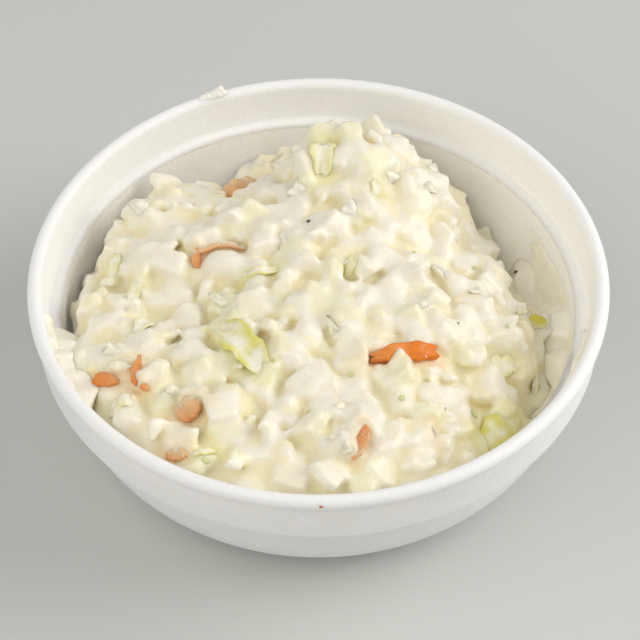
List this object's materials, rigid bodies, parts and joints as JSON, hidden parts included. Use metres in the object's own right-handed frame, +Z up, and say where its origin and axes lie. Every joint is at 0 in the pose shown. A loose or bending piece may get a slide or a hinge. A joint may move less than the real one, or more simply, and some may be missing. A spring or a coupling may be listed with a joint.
{
  "type": "coleslaw in a foam bowl",
  "caption": "Creamy chopped coleslaw heaped in a small round white foam bowl with a rolled rim and a stacking shoulder.",
  "frame": {"origin": "centre of the bowl's underside, on the surface it stands on", "axes": "+Z up through the rim; -Y towards the eater; +X to the eater's right"},
  "size_m": [0.12, 0.12, 0.0467],
  "materials": {
    "foam": "white expanded foam, fine bead grain, faint satin",
    "salad": "chopped cabbage and carrot wet with a creamy dressing"
  },
  "bodies": {
    "root": {"foam_bowl": "foam", "coleslaw": "salad"}
  },
  "joints": []
}
